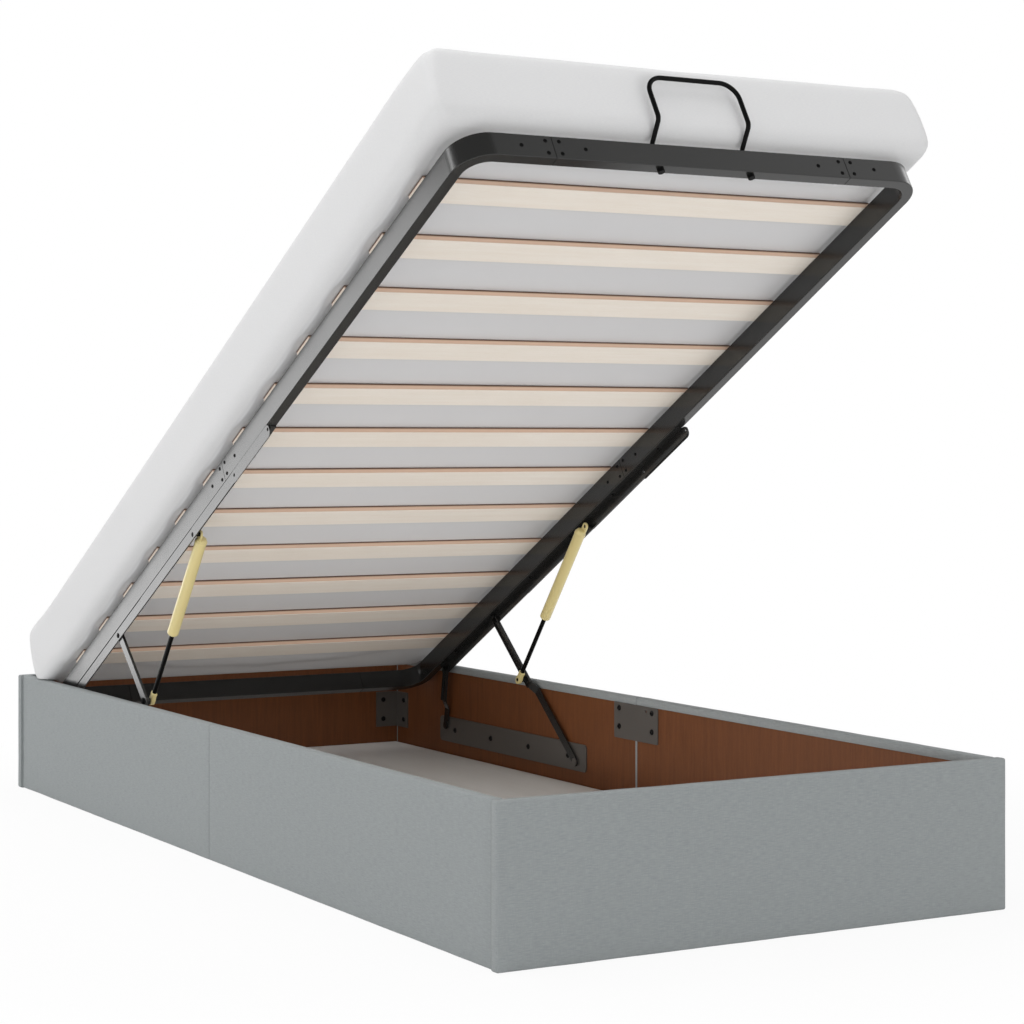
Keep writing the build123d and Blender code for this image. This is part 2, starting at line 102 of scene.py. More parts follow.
WHITE = (1, 1, 1, 1)
WORLD_SIDE = 0.76
WORLD_TOP = 0.42
WORLD_FROM = 0.1
WORLD_TO = 0.8
FLOOR_SIZE = 30.0
FLOOR_COLOUR = (0.9, 0.9, 0.9, 1)
FLOOR_WHITE_FROM = 1.2
FLOOR_WHITE_TO = 1.7
FLOOR_WHITE_START = 0.92
SHINE_BRIGHT = 1.0
SHINE_DARK = 0.2
SHINE_FROM = 0.48
SHINE_TO = 0.72
SHINE_LEAN = 0.35

# Each lamp's place, the point it faces, its width, height and power, and the rays that don't see it

LAMPS = {
    "top_lamp": ((-1.0, 0.3, 4.6), (-0.4, 0, 0), 4.4, 5.0, 122, ("glossy",)),
    "left_lamp": ((-4.6, -1.0, 0.88), (0, 0, 0.5), 3.0, 1.6, 26, ()),
    "front_lamp": ((0.8, -5.0, 0.5), (0, 0, 0.7), 4.0, 1.0, 36, ("glossy",)),
    "rear_panel": ((-1.8, 2.7, 0.62), (-0.6, 0.2, 0.5), 2.6, 1.8, 31, ("camera", "diffuse")),
    "left_strip": ((-2.95, 1.45, 2.0), (-0.43, -0.83, 1.16), 0.5, 1.3, 11, ("camera", "diffuse")),
    "right_strip": ((3.05, -0.05, 2.3), (0.43, -0.86, 1.15), 0.7, 1.4, 5, ("camera", "diffuse")),
    "box_lamp": ((0, -0.27, 0.07), (0, -0.27, 1), 0.74, 1.16, 1.9, ("camera", "glossy"))}


def place_camera():
    data = bpy.data.cameras.new("camera")
    data.sensor_width = SENSOR
    data.lens = FOCAL_PIXELS / IMAGE_SIZE * SENSOR
    data.shift_x = 0.5 - PRINCIPAL_X / IMAGE_SIZE
    data.shift_y = PRINCIPAL_Y / IMAGE_SIZE - 0.5
    scene.camera = linked("camera", data)
    scene.camera.location = CAMERA_PLACE
    scene.camera.rotation_euler = (math.pi / 2, 0, -CAMERA_YAW)


def lamp(name, place, target, width, height, power, unseen_by):
    """Soft rectangular lamp that faces a point."""
    data = bpy.data.lights.new(name, "AREA")
    data.shape = "RECTANGLE"
    data.size = width
    data.size_y = height
    data.energy = power
    light = linked(name, data)
    light.location = place
    light.rotation_euler = (Vector(target) - Vector(place)).to_track_quat("-Z", "Y").to_euler()
    for ray in unseen_by:
        setattr(light, "visible_" + ray, False)


def light_studio():
    """The lamps, and a world that is plain white to the camera and has its own brightness in reflections."""
    for name, values in LAMPS.items():
        lamp(name, *values)
    scene.world = bpy.data.worlds.new("studio")
    scene.world.use_nodes = True
    tree = scene.world.node_tree
    tree.nodes.clear()
    rays = add(tree, "ShaderNodeLightPath").outputs
    seen = calc("MAXIMUM", rays["Is Camera Ray"], rays["Is Transmission Ray"])
    way = axes(coordinates(tree, "Generated"))
    lit = spread(way["Z"], WORLD_FROM, WORLD_TO, WORLD_SIDE, WORLD_TOP)
    lean = calc("SUBTRACT", way["Z"], times(way["X"], SHINE_LEAN))
    shiny = spread(lean, SHINE_FROM, SHINE_TO, SHINE_BRIGHT, SHINE_DARK)
    strength = toward(seen, toward(rays["Is Glossy Ray"], lit, shiny), 1.0)
    shade = add(tree, "ShaderNodeBackground", {"Color": WHITE, "Strength": strength})
    put(tree.nodes.new("ShaderNodeOutputWorld").inputs["Surface"], shade.outputs[0])


def floor_finish():
    """White floor that keeps a faint shadow near the object and fades to plain white."""
    material, tree, shader = plain_material(
        "floor", Base_Color=FLOOR_COLOUR, Roughness=1.0, Specular_IOR_Level=0.0)
    away = add(tree, "ShaderNodeVectorMath", operation="LENGTH")
    put(away.inputs[0], coordinates(tree, "Object"))
    fade = spread(away.outputs["Value"], FLOOR_WHITE_FROM, FLOOR_WHITE_TO, FLOOR_WHITE_START)
    rays = add(tree, "ShaderNodeLightPath").outputs
    seen = calc("MAXIMUM", rays["Is Camera Ray"], rays["Is Glossy Ray"])
    glow = add(tree, "ShaderNodeEmission", {"Color": WHITE, "Strength": 1.0})
    mixed = wired(tree, "ShaderNodeMixShader", times(fade, seen), shader.outputs[0], glow.outputs[0])
    put(tree.get_output_node("ALL").inputs["Surface"], mixed)
    return material


def lay_floor():
    half = FLOOR_SIZE / 2
    corners = [(x * half, y * half, 0) for x, y in ((-1, -1), (1, -1), (1, 1), (-1, 1))]
    mesh = bpy.data.meshes.new("floor")
    mesh.from_pydata(corners, [], [(0, 1, 2, 3)])
    mesh.materials.append(floor_finish())
    linked("floor", mesh)


# Node helpers


def put(socket, value):
    """Link a socket, or set a constant on it."""
    if isinstance(value, bpy.types.NodeSocket):
        socket.id_data.links.new(value, socket)
    else:
        socket.default_value = value


def add(tree, kind, inputs=None, **settings):
    """New node, with its settings and its inputs by name."""
    node = tree.nodes.new(kind)
    for name, value in settings.items():
        setattr(node, name, value)
    for name, value in (inputs or {}).items():
        put(node.inputs[name], value)
    return node


def wired(tree, kind, *values, **settings):
    """First output of a new node whose first inputs take the values."""
    node = add(tree, kind, **settings)
    for socket, value in zip(node.inputs, values):
        put(socket, value)
    return node.outputs[0]


def tree_of(*values):
    """Node tree of the first socket among some values."""
    return next(value.id_data for value in values if isinstance(value, bpy.types.NodeSocket))


def calc(operation, *values):
    return wired(tree_of(*values), "ShaderNodeMath", *values, operation=operation)


def times(first, second):
    return calc("MULTIPLY", first, second)


def coordinates(tree, kind):
    return add(tree, "ShaderNodeTexCoord").outputs[kind]


def stretched(vector, scale):
    """Vector scaled by a constant on each axis."""
    return wired(vector.id_data, "ShaderNodeVectorMath", vector, scale, operation="MULTIPLY")


def axes(vector):
    """The three numbers of a vector, by axis."""
    return add(vector.id_data, "ShaderNodeSeparateXYZ", {"Vector": vector}).outputs


def noise_value(vector, scale, detail=3.0, roughness=0.5):
    return add(vector.id_data, "ShaderNodeTexNoise",
               {"Vector": vector, "Scale": scale, "Detail": detail, "Roughness": roughness}).outputs[0]


def toward(share, first, second):
    """Value between two values."""
    return calc("ADD", times(calc("SUBTRACT", second, first), share), first)


def blended(share, first, second):
    """Colour between two colours."""
    node = add(tree_of(share, first, second), "ShaderNodeMix", data_type="RGBA")
    for place, value in ((0, share), (6, first), (7, second)):
        put(node.inputs[place], value)
    return node.outputs[2]


def tinted(colour, mask, amount, other):
    """Colour with an amount of another one where a mask shows it."""
    return blended(times(mask, amount), colour, other)


def spread(value, low, high, first=0.0, last=1.0):
    """Value spread from one range to another, without leaving it."""
    return add(value.id_data, "ShaderNodeMapRange", {"Value": value, "From Min": low, "From Max": high,
                                                     "To Min": first, "To Max": last}).outputs[0]


def shader_group(name, inputs, outputs):
    """New group; an input with a default is a number, one without is a vector, and outputs are numbers."""
    tree = bpy.data.node_groups.new(name, "ShaderNodeTree")
    for label, default in inputs.items():
        kind = "NodeSocketVector" if default is None else "NodeSocketFloat"
        socket = tree.interface.new_socket(name=label, in_out="INPUT", socket_type=kind)
        if default is not None:
            socket.default_value = default
    for label in outputs:
        tree.interface.new_socket(name=label, in_out="OUTPUT", socket_type="NodeSocketFloat")
    return tree, tree.nodes.new("NodeGroupInput").outputs, tree.nodes.new("NodeGroupOutput").inputs


def use_group(tree, group, inputs):
    return add(tree, "ShaderNodeGroup", inputs, node_tree=group).outputs


# Shared effects

SLUB_ASPECT = 9.0
SLUB_RANGE = (0.34, 0.66)
GRAIN_LENGTH = (0.06, 1.0, 1.0)
GRAIN_BEND = (0.0, 0.02, 0.02)
PORE_LENGTH = (0.09, 1.0, 1.0)
PORE_RANGE = (0.56, 0.7)
DUST_RANGE = (0.68, 0.78)


def make_weave_group():
    """Plain weave: threads that cross over and under, with long slubs in both directions."""
    inputs = {"Cloth": None, "Threads": 1600.0, "Slub Length": 0.012}
    tree, given, result = shader_group("linen_weave", inputs, ["Height", "Across", "Along"])
    cloth = axes(given["Cloth"])
    turns = times(given["Threads"], math.pi)
    across = calc("SINE", times(cloth["X"], turns))
    along = calc("SINE", times(cloth["Y"], turns))
    over = calc("GREATER_THAN", times(across, along), 0.0)
    warp = times(calc("ABSOLUTE", across), over)
    weft = times(calc("ABSOLUTE", along), calc("SUBTRACT", 1.0, over))
    threads = times(calc("ADD", warp, weft), 0.5)
    reach = calc("DIVIDE", 1.0, given["Slub Length"])
    fine = times(reach, SLUB_ASPECT)
    tones = []
    for label, thin, long in (("Across", "Y", "X"), ("Along", "X", "Y")):
        first = times(cloth[thin], fine)
        second = times(cloth[long], reach)
        place = add(tree, "ShaderNodeCombineXYZ", {"X": first, "Y": second}).outputs[0]
        tones.append(noise_value(place, 1.0, 2.0, 0.6))
        put(result[label], spread(tones[-1], *SLUB_RANGE))
    put(result["Height"], calc("ADD", threads, calc("ADD", *tones)))
    return tree


def make_grain_group():
    """Wood grain along X: long streaks, fine pores and a slow wander of tone."""
    inputs = {"Place": None, "Streaks": 90.0, "Pores": 900.0}
    tree, given, result = shader_group("wood_grain", inputs, ["Streak", "Pore", "Wander"])
    long = stretched(given["Place"], GRAIN_LENGTH)
    bend = noise_value(long, 6.0, 2.0)
    both = add(tree, "ShaderNodeCombineXYZ", {"Y": bend, "Z": bend}).outputs[0]
    bent = wired(tree, "ShaderNodeVectorMath", long, stretched(both, GRAIN_BEND), operation="ADD")
    put(result["Streak"], noise_value(bent, given["Streaks"], 4.0, 0.6))
    pores = noise_value(stretched(given["Place"], PORE_LENGTH), given["Pores"], 2.0, 0.7)
    put(result["Pore"], spread(pores, *PORE_RANGE))
    put(result["Wander"], noise_value(given["Place"], 7.0, 2.0))
    return tree


def make_coat_group():
    """Powder coat: fine orange peel, a slow change of tone and sparse dust."""
    inputs = {"Place": None, "Peel": 900.0}
    tree, given, result = shader_group("powder_coat", inputs, ["Height", "Tone", "Dust"])
    place = given["Place"]
    put(result["Height"], noise_value(place, given["Peel"], 2.0, 0.55))
    put(result["Tone"], noise_value(place, 9.0))
    put(result["Dust"], spread(noise_value(place, 420.0, 2.0, 0.8), *DUST_RANGE))
    return tree


weave_group = make_weave_group()
grain_group = make_grain_group()
coat_group = make_coat_group()


# Materials


def srgb(red, green, blue):
    """Colour written as on a screen, from 0 to 255, as linear light."""
    def linear(value):
        share = value / 255
        return share / 12.92 if share <= 0.04045 else ((share + 0.055) / 1.055) ** 2.4
    return (linear(red), linear(green), linear(blue), 1)


def plain_material(name, **constants):
    """Material with constants on its shader's own sockets, named with underscores."""
    material = bpy.data.materials.new(name)
    material.use_nodes = True
    tree = material.node_tree
    tree.nodes.clear()
    shader = add(tree, "ShaderNodeBsdfPrincipled")
    for label, value in constants.items():
        shader.inputs[label.replace("_", " ")].default_value = value
    put(add(tree, "ShaderNodeOutputMaterial").inputs["Surface"], shader.outputs[0])
    return material, tree, shader


def add_bump(shader, height, distance, strength):
    inputs = {"Height": height, "Distance": distance, "Strength": strength}
    put(shader.inputs["Normal"], add(shader.id_data, "ShaderNodeBump", inputs).outputs[0])


def object_place(tree, shift, turn):
    """Object coordinates, turned and shifted."""
    inputs = {"Vector": coordinates(tree, "Object"), "Location": shift, "Rotation": turn}
    return add(tree, "ShaderNodeMapping", inputs).outputs[0]


def woven(name, threads, slub_length, **constants):
    """Material with its cloth map and its weave, both in metres."""
    material, tree, shader = plain_material(name, **constants)
    cloth = add(tree, "ShaderNodeUVMap", uv_map="cloth").outputs[0]
    weave = use_group(tree, weave_group, {"Cloth": cloth, "Threads": threads, "Slub Length": slub_length})
    return material, shader, cloth, weave


def linen():
    """Grey linen look of the base's cover, with a broad change of tone."""
    material, shader, cloth, weave = woven(
        "grey_linen", 1300.0, 0.014, Roughness=0.92, Sheen_Weight=0.12, Sheen_Roughness=0.5,
        Specular_IOR_Level=0.2)
    dark = srgb(147, 152, 153)
    colour = blended(weave["Across"], dark, srgb(162, 167, 168))
    colour = tinted(colour, weave["Along"], 0.6, dark)
    broad = spread(noise_value(cloth, 60.0, 3.0, 0.6), 0.35, 0.65)
    put(shader.inputs["Base Color"], tinted(colour, broad, 0.35, srgb(159, 163, 163)))
    add_bump(shader, weave["Height"], 0.3 * MM, 0.7)
    return material


BASE_CLOTH = RAIL_DEPTH + 13 * MM
BASE_CLOTH_FADE = 2 * MM


def ticking():
    """White stretch cover of the mattress, with a greyer cloth underneath."""
    material, shader, _, weave = woven(
        "white_ticking", 900.0, 0.006, Roughness=0.95, Sheen_Weight=0.1, Specular_IOR_Level=0.15)
    colour = blended(weave["Across"], srgb(224, 224, 225), srgb(229, 229, 229))
    height = axes(object_place(shader.id_data, lowered.translation, lowered.to_euler()))["Z"]
    upper = spread(height, BASE_CLOTH, BASE_CLOTH + BASE_CLOTH_FADE)
    put(shader.inputs["Base Color"], blended(upper, srgb(216, 216, 217), colour))
    add_bump(shader, weave["Height"], 0.2 * MM, 0.4)
    return material


def wood(name, light, dark, turn, streaks=90.0, pores=900.0, contrast=0.5, roughness=0.6, shift=(0, 0, 0)):
    """Wood with its grain along one axis of the piece; gives back the nodes for more detail."""
    material, tree, shader = plain_material(name, Roughness=roughness, Specular_IOR_Level=0.35)
    place = object_place(tree, shift, turn)
    grain = use_group(tree, grain_group, {"Place": place, "Streaks": streaks, "Pores": pores})
    colour = tinted(light, spread(grain["Streak"], 0.3, 0.7), contrast, dark)
    colour = tinted(colour, grain["Pore"], contrast, dark)
    colour = tinted(colour, grain["Wander"], 0.3, dark)
    put(shader.inputs["Base Color"], colour)
    add_bump(shader, grain["Streak"], 0.15 * MM, 0.6)
    return material, shader, place, colour


SLAT_FACE = 0.7 * MM
SLAT_TOP = RAIL_DEPTH + 12 * MM
SLAT_DARK = 4.4 * MM
PLY = 2.6 * MM
SLAT_END_FACING = 0.7


def slat_wood():
    """Pale plywood in the frame's own coordinates: a plain face, plies along the edges, a painted contact shadow
    along the top of the edges under the mattress, and paler ends.
    """
    material, shader, place, colour = wood(
        "slat_plywood", srgb(248, 241, 231), srgb(233, 219, 201), lowered.to_euler(), contrast=0.3,
        roughness=0.5, shift=lowered.translation)
    height = axes(place)["Z"]
    edge = spread(height, RAIL_DEPTH + SLAT_FACE, RAIL_DEPTH + 2 * SLAT_FACE)
    plies = spread(calc("SINE", times(height, math.pi / PLY)), -0.6, 0.6)
    ply = tinted(srgb(236, 204, 180), plies, 0.35, srgb(214, 177, 150))
    # Painted shadow: the top few millimetres of each slat's edge are painted dark brown where the mattress lies on
    # it, standing in for the shade in that gap
    painted_contact_shade = spread(height, SLAT_TOP - SLAT_DARK, SLAT_TOP - 0.6 * SLAT_DARK)
    ply = blended(painted_contact_shade, ply, srgb(100, 74, 58))
    facing = axes(coordinates(shader.id_data, "Normal"))
    at_end = calc("GREATER_THAN", calc("ABSOLUTE", facing["X"]), SLAT_END_FACING)
    ply = blended(times(calc("SUBTRACT", 1.0, painted_contact_shade), at_end), ply, srgb(240, 226, 212))
    put(shader.inputs["Base Color"], blended(edge, colour, ply))
    return material


DUST = srgb(110, 108, 104)
SMOOTHER = 0.06
ROUGHER = 0.08


def coat(name, colour, tone=0.25, roughness=0.4, peel=900.0, gloss=0.0, dust=0.2, shine=0.5):
    """Powder-coated or painted steel."""
    material, tree, shader = plain_material(
        name, Coat_Weight=gloss, Coat_Roughness=0.12, Specular_IOR_Level=shine)
    paint = use_group(tree, coat_group, {"Place": coordinates(tree, "Object"), "Peel": peel})
    lighter = tuple(min(1.0, part * (1 + tone) + 0.001) for part in colour[:3]) + (1,)
    base = blended(paint["Tone"], colour, lighter)
    put(shader.inputs["Base Color"], tinted(base, paint["Dust"], dust, DUST))
    rough = spread(paint["Tone"], 0.0, 1.0, roughness - SMOOTHER, roughness + ROUGHER)
    put(shader.inputs["Roughness"], rough)
    add_bump(shader, paint["Height"], 0.04 * MM, 0.5)
    return material


ALONG_Y = (0, 0, math.pi / 2)
UPRIGHT = (0, math.pi / 2, 0)

finishes = {
    "upholstery": linen(),
    "mattress": ticking(),
    "board": wood("brown_board", srgb(124, 73, 37), srgb(84, 46, 22), UPRIGHT, 160.0, 1100.0, 0.5, 0.55)[0],
    "batten": wood("batten_pine", srgb(214, 184, 140), srgb(176, 138, 92), ALONG_Y, 70.0, 700.0)[0],
    "floor_panel": wood("white_hardboard", srgb(232, 231, 228), srgb(222, 220, 216), ALONG_Y, 60.0, 1600.0,
                        0.3, 0.45)[0],
    "dark_plate": coat("dark_plate_coat", srgb(82, 78, 74), roughness=0.42),
    "arm_steel": coat("arm_coat", srgb(34, 34, 33), roughness=0.2, dust=0.04),
    "frame_steel": coat("frame_coat", srgb(32, 32, 31), roughness=0.2, dust=0.04),
    "black_fittings": coat("black_coat", srgb(4, 4, 4), roughness=0.5, dust=0.02, shine=0.12),
    "bolt_steel": coat("bolt_black", srgb(10, 9, 9), roughness=0.45, dust=0.02, shine=0.2),
    "strut_body": coat("strut_yellow", srgb(220, 204, 142), tone=0.05, roughness=0.3, gloss=0.3, dust=0.05),
    "strut_rod": coat("rod_black", srgb(4, 4, 4), roughness=0.35, peel=300.0, dust=0.01, shine=0.12),
    "slat_wood": slat_wood()}
slot_of = {part["node"]: part["material_slot"] for part in frame["record"]["subparts"]}


def finish_nodes():
    """Each node of the frame takes the finish of its slot."""
    for name, piece in nodes.items():
        piece.data.materials.clear()
        piece.data.materials.append(finishes[slot_of[name]])


# Mesh helpers

WELD = 0.002 * MM
FACE_WEIGHT = 90


def linked(name, data):
    """New object in the scene."""
    item = bpy.data.objects.new(name, data)
    scene.collection.objects.link(item)
    return item


def smooth_mesh(name, form):
    """Mesh of a bmesh, shaded smooth."""
    data = bpy.data.meshes.new(name)
    form.to_mesh(data)
    form.free()
    data.polygons.foreach_set("use_smooth", [True] * len(data.polygons))
    return data


def clamped(point, low, high):
    """Point of a box that is nearest to a point."""
    return Vector([min(max(point[n], low[n]), high[n]) for n in range(len(low))])


def axes_at(origin, *ways):
    """Place whose own X, Y and Z run along three ways."""
    return Matrix.Translation(origin) @ Matrix(ways).transposed().to_4x4()


def new_piece(name, mesh, slot, body, *replaced):
    """Finished piece at the origin that rides on a body, in place of some nodes."""
    piece = linked(name, mesh)
    if not mesh.materials:
        mesh.materials.append(finishes[slot])
    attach(piece, body)
    if replaced:
        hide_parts(*replaced)
    return piece


def baked(piece, name):
    """Mesh of an object with its modifiers applied; the object is removed."""
    graph = bpy.context.evaluated_depsgraph_get()
    mesh = bpy.data.meshes.new_from_object(piece.evaluated_get(graph), depsgraph=graph)
    mesh.name = name
    bpy.data.objects.remove(piece)
    return mesh


def closed_mesh(name, form, place=Matrix()):
    """Mesh of a closed bmesh, smooth over its rounded edges and flat on its faces, put in its place."""
    bmesh.ops.remove_doubles(form, verts=form.verts, dist=WELD)
    bmesh.ops.recalc_face_normals(form, faces=form.faces)
    data = smooth_mesh(name, form)
    data.transform(place)
    piece = linked(name, data)
    piece.modifiers.new("flat_faces", "WEIGHTED_NORMAL").weight = FACE_WEIGHT
    return baked(piece, name)


def joined(name, meshes, place=Matrix()):
    """One closed mesh from several."""
    form = bmesh.new()
    for mesh in meshes:
        form.from_mesh(mesh)
    return closed_mesh(name, form, place)


def grid_lines(low, high, ends, step):
    """Places along one axis: set distances from both ends, and even steps between them."""
    reach = ends[-1]
    count = max(1, round((high - low - 2 * reach) / step))
    middle = [low + reach + (high - low - 2 * reach) * n / count for n in range(1, count)]
    return [low + end for end in ends] + middle + [high - end for end in reversed(ends)]


def box_grid(lines):
    """Closed box of quads on three lists of grid lines, as a bmesh whose faces point outwards."""
    mesh = bmesh.new()
    known = {}

    def vertex(place):
        if place not in known:
            known[place] = mesh.verts.new([lines[axis][place[axis]] for axis in range(3)])
        return known[place]

    for axis in range(3):
        first, second = (axis + 1) % 3, (axis + 2) % 3
        for side in (0, len(lines[axis]) - 1):
            for i in range(len(lines[first]) - 1):
                for j in range(len(lines[second]) - 1):
                    corners = []
                    for di, dj in ((0, 0), (1, 0), (1, 1), (0, 1)):
                        place = [0, 0, 0]
                        place[axis], place[first], place[second] = side, i + di, j + dj
                        corners.append(vertex(tuple(place)))
                    mesh.faces.new(corners if side else corners[::-1])
    return mesh


def cloth_map(mesh):
    """UV map in metres, taken along the faces' main direction."""
    layer = mesh.loops.layers.uv.new("cloth")
    for face in mesh.faces:
        size = [abs(part) for part in face.normal]
        axis = size.index(max(size))
        for loop in face.loops:
            x, y, z = loop.vert.co
            loop[layer].uv = ((y, z), (x, z), (x, y))[axis]


def wrap(mesh, rings):
    """Faces between rings of points; a ring may be a single point."""
    sides = max(map(len, rings))
    for low, high in zip(rings, rings[1:]):
        for n in range(sides):
            m = (n + 1) % sides
            corners = [low[n % len(low)], low[m % len(low)], high[m % len(high)], high[n % len(high)]]
            mesh.faces.new(list(dict.fromkeys(corners)))


def arc(centre, radius, start, steps, sweep=90):
    """Points round a centre, from a start angle in degrees."""
    angles = [math.radians(start + sweep * n / steps) for n in range(steps + 1)]
    return [(centre[0] + radius * math.cos(angle), centre[1] + radius * math.sin(angle)) for angle in angles]


def round_outline(radius, centre=(0, 0), sides=24):
    return arc(centre, radius, 0, sides, 360)[:-1]


def lathe(profile, sides):
    """Closed turned form about Z from a list of radius and height; the first and last radius are zero."""
    mesh = bmesh.new()
    rings = []
    for radius, height in profile:
        ring = round_outline(radius, sides=sides) if radius else [(0, 0)]
        rings.append([mesh.verts.new((x, y, height)) for x, y in ring])
    wrap(mesh, rings)
    return mesh


def box_outline(x0, x1, y0, y1, radius, steps=4):
    """Rectangle with rounded corners."""
    centres = ((x1 - radius, y1 - radius), (x0 + radius, y1 - radius),
               (x0 + radius, y0 + radius), (x1 - radius, y0 + radius))
    return [point for n, centre in enumerate(centres) for point in arc(centre, radius, 90 * n, steps)]


def flat_plate(name, outlines, thickness, edge, place):
    """Plate from an outline and its holes, with eased edges, centred on its plane."""
    curve = bpy.data.curves.new(name, "CURVE")
    curve.dimensions = "2D"
    curve.fill_mode = "BOTH"
    for outline in outlines:
        spline = curve.splines.new("POLY")
        spline.points.add(len(outline) - 1)
        for point, (x, y) in zip(spline.points, outline):
            point.co = (x, y, 0, 1)
        spline.use_cyclic_u = True
    curve.extrude = thickness / 2 - edge
    curve.bevel_depth = edge
    curve.bevel_resolution = 1
    curve.offset = -edge
    return joined(name, [baked(linked(name, curve), name)], place)


def upright_plane(x):
    """Place of a plate that stands across X: its own axes are Y and Z."""
    return axes_at((x, 0, 0), (0, 1, 0), (0, 0, 1), (1, 0, 0))


# Fabric cover of the base

COVER = 1.6 * MM
COVER_ROUND = 4.2 * MM
COVER_ENDS = [COVER_ROUND * share for share in (0, 0.25, 0.55, 1.0)]
COVER_STEP = 22 * MM
HEM = 15 * MM
CLOTH_RELIEF = 0.35 * MM
RELIEF_BROAD = 14
RELIEF_FINE = 45
SEAM_CLOSE = 0.3 * MM
SEAM_CUT = 0.6 * MM
HEAD_CUT = 3.0 * MM
FOLD_DEPTH = 2.4 * MM
WINDOW_GAP = 1.5 * MM
head_seam = cad_high.y - 40 * MM


def cover_form(node, axis, side, window, cut_low, cut_high):
    """Fabric round one board, open on its inner face but for a hem, and cut square where it meets another.

    window is the open stretch lengthwise; cut_low and cut_high say which ends in Y are cut square.
    The foot board's cover is folded in where it meets the sides.
    """
    limit_low, limit_high = (Vector(corner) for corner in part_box(node))
    lengthwise = 1 - axis
    if abs(limit_low.y) < COVER_ROUND:
        limit_low.y -= SEAM_CLOSE
    if abs(limit_high.y) < COVER_ROUND:
        limit_high.y += SEAM_CLOSE
    low, high = limit_low.copy(), limit_high.copy()
    if cut_low:
        low.y -= HEAD_CUT if low.y > head_seam else SEAM_CUT
    if cut_high:
        high.y += HEAD_CUT if high.y > head_seam else SEAM_CUT
    lines = [grid_lines(low[n], high[n], COVER_ENDS, COVER_STEP) for n in range(3)]
    lines[2] = sorted(lines[2] + [low.z + HEM, high.z - HEM])
    lines[lengthwise] = sorted(lines[lengthwise] + list(window))
    fold = lines[1][-3]
    mesh = box_grid(lines)
    face_at = high[axis] if side > 0 else low[axis]
    open_faces = []
    for face in mesh.faces:
        middle = face.calc_center_median()
        on_face = abs(middle[axis] - face_at) < COVER_ROUND / 10
        in_window = window[0] < middle[lengthwise] < window[1]
        if on_face and in_window and low.z + HEM < middle.z < high.z - HEM:
            open_faces.append(face)
    rounded = Vector.Fill(3, COVER_ROUND)
    for vert in mesh.verts:
        core = clamped(vert.co, low + rounded, high - rounded)
        way = (vert.co - core).normalized()
        bumps = noise.noise(vert.co * RELIEF_BROAD) + 0.5 * noise.noise(vert.co * RELIEF_FINE)
        relief = CLOTH_RELIEF * (bumps - 1)
        if node == "foot_board_cover" and abs(vert.co.y - fold) < CLOTH_RELIEF:
            relief -= FOLD_DEPTH
        vert.co = clamped(core + way * (COVER_ROUND + relief), limit_low, limit_high)
    bmesh.ops.delete(mesh, geom=open_faces, context="FACES")
    mesh.normal_update()
    cloth_map(mesh)
    return mesh


def dress_base():
    """Cover cloth of the six boards."""
    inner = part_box("side_board_front_right")[0].x
    boards = {"foot_board_cover": (1, 1, (-inner, inner), False, True),
              "head_board_cover": (1, -1, (-inner, inner), True, False)}
    for name, side in SIDES:
        for end in ("front", "rear"):
            node = f"side_cover_{end}_{name}"
            low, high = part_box(node)
            boards[node] = (0, -side, (low.y + WINDOW_GAP, high.y - WINDOW_GAP), True, True)
    for node, (axis, *rest) in boards.items():
        form = cover_form(node, axis, *rest)
        low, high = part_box(node)
        area = sum(face.calc_area() for face in form.faces)
        piece = linked(node, smooth_mesh(node, form))
        wall = piece.modifiers.new("wall", "SOLIDIFY")
        wall.thickness = COVER
        wall.offset = -1
        piece = new_piece(node + "_cloth", baked(piece, node), "upholstery", "root", node)


# Frame tube

TUBE_WIDTH = 19.6 * MM
TUBE_CORNER = 56.0 * MM
TUBE_EDGE = 1.4 * MM
TUBE_END = 0.5 * MM
SEAM = 0.5 * MM
ARC_STEPS = 14


def tube_ring(inset):
    half = TUBE_WIDTH / 2 - inset
    return box_outline(-half, half, inset, RAIL_DEPTH - inset, TUBE_EDGE - inset / 2, 3)


def tube_form(stations):
    """Closed rounded tube through stations, each a point of its axis and the way outwards."""
    mesh = bmesh.new()
    first, last = stations[0], stations[-1]
    ease_first = (stations[1][0] - first[0]).normalized() * TUBE_END
    ease_last = (stations[-2][0] - last[0]).normalized() * TUBE_END
    whole = [(first[0] + ease_first, first[1])] + stations[1:-1] + [(last[0] + ease_last, last[1])]
    sections = [(first, TUBE_END)] + [(station, 0) for station in whole] + [(last, TUBE_END)]
    rings = []
    for (point, out), inset in sections:
        rings.append([mesh.verts.new((point.x + out.x * across, point.y + out.y * across, rise))
                      for across, rise in tube_ring(inset)])
    wrap(mesh, rings)
    mesh.faces.new(rings[0])
    mesh.faces.new(rings[-1])
    return mesh


def tube_stations(side, end):
    """Axis of one corner length: from the end rail round the corner to the middle of the side."""
    half = TUBE_WIDTH / 2
    bend = arc((half_width - TUBE_CORNER, TUBE_CORNER), TUBE_CORNER - half, -90, ARC_STEPS)
    stations = [((foot_rail_half + SEAM, half), (0, -1)), *zip(bend, arc((0, 0), 1, -90, ARC_STEPS)),
                ((half_width - half, (frame_length - SEAM) / 2), (1, 0))]
    start, way = (0, 1) if end == "foot" else (frame_length, -1)
    return [(Vector((side * x, start + way * y)), Vector((side * out_x, way * out_y)))
            for (x, y), (out_x, out_y) in stations]


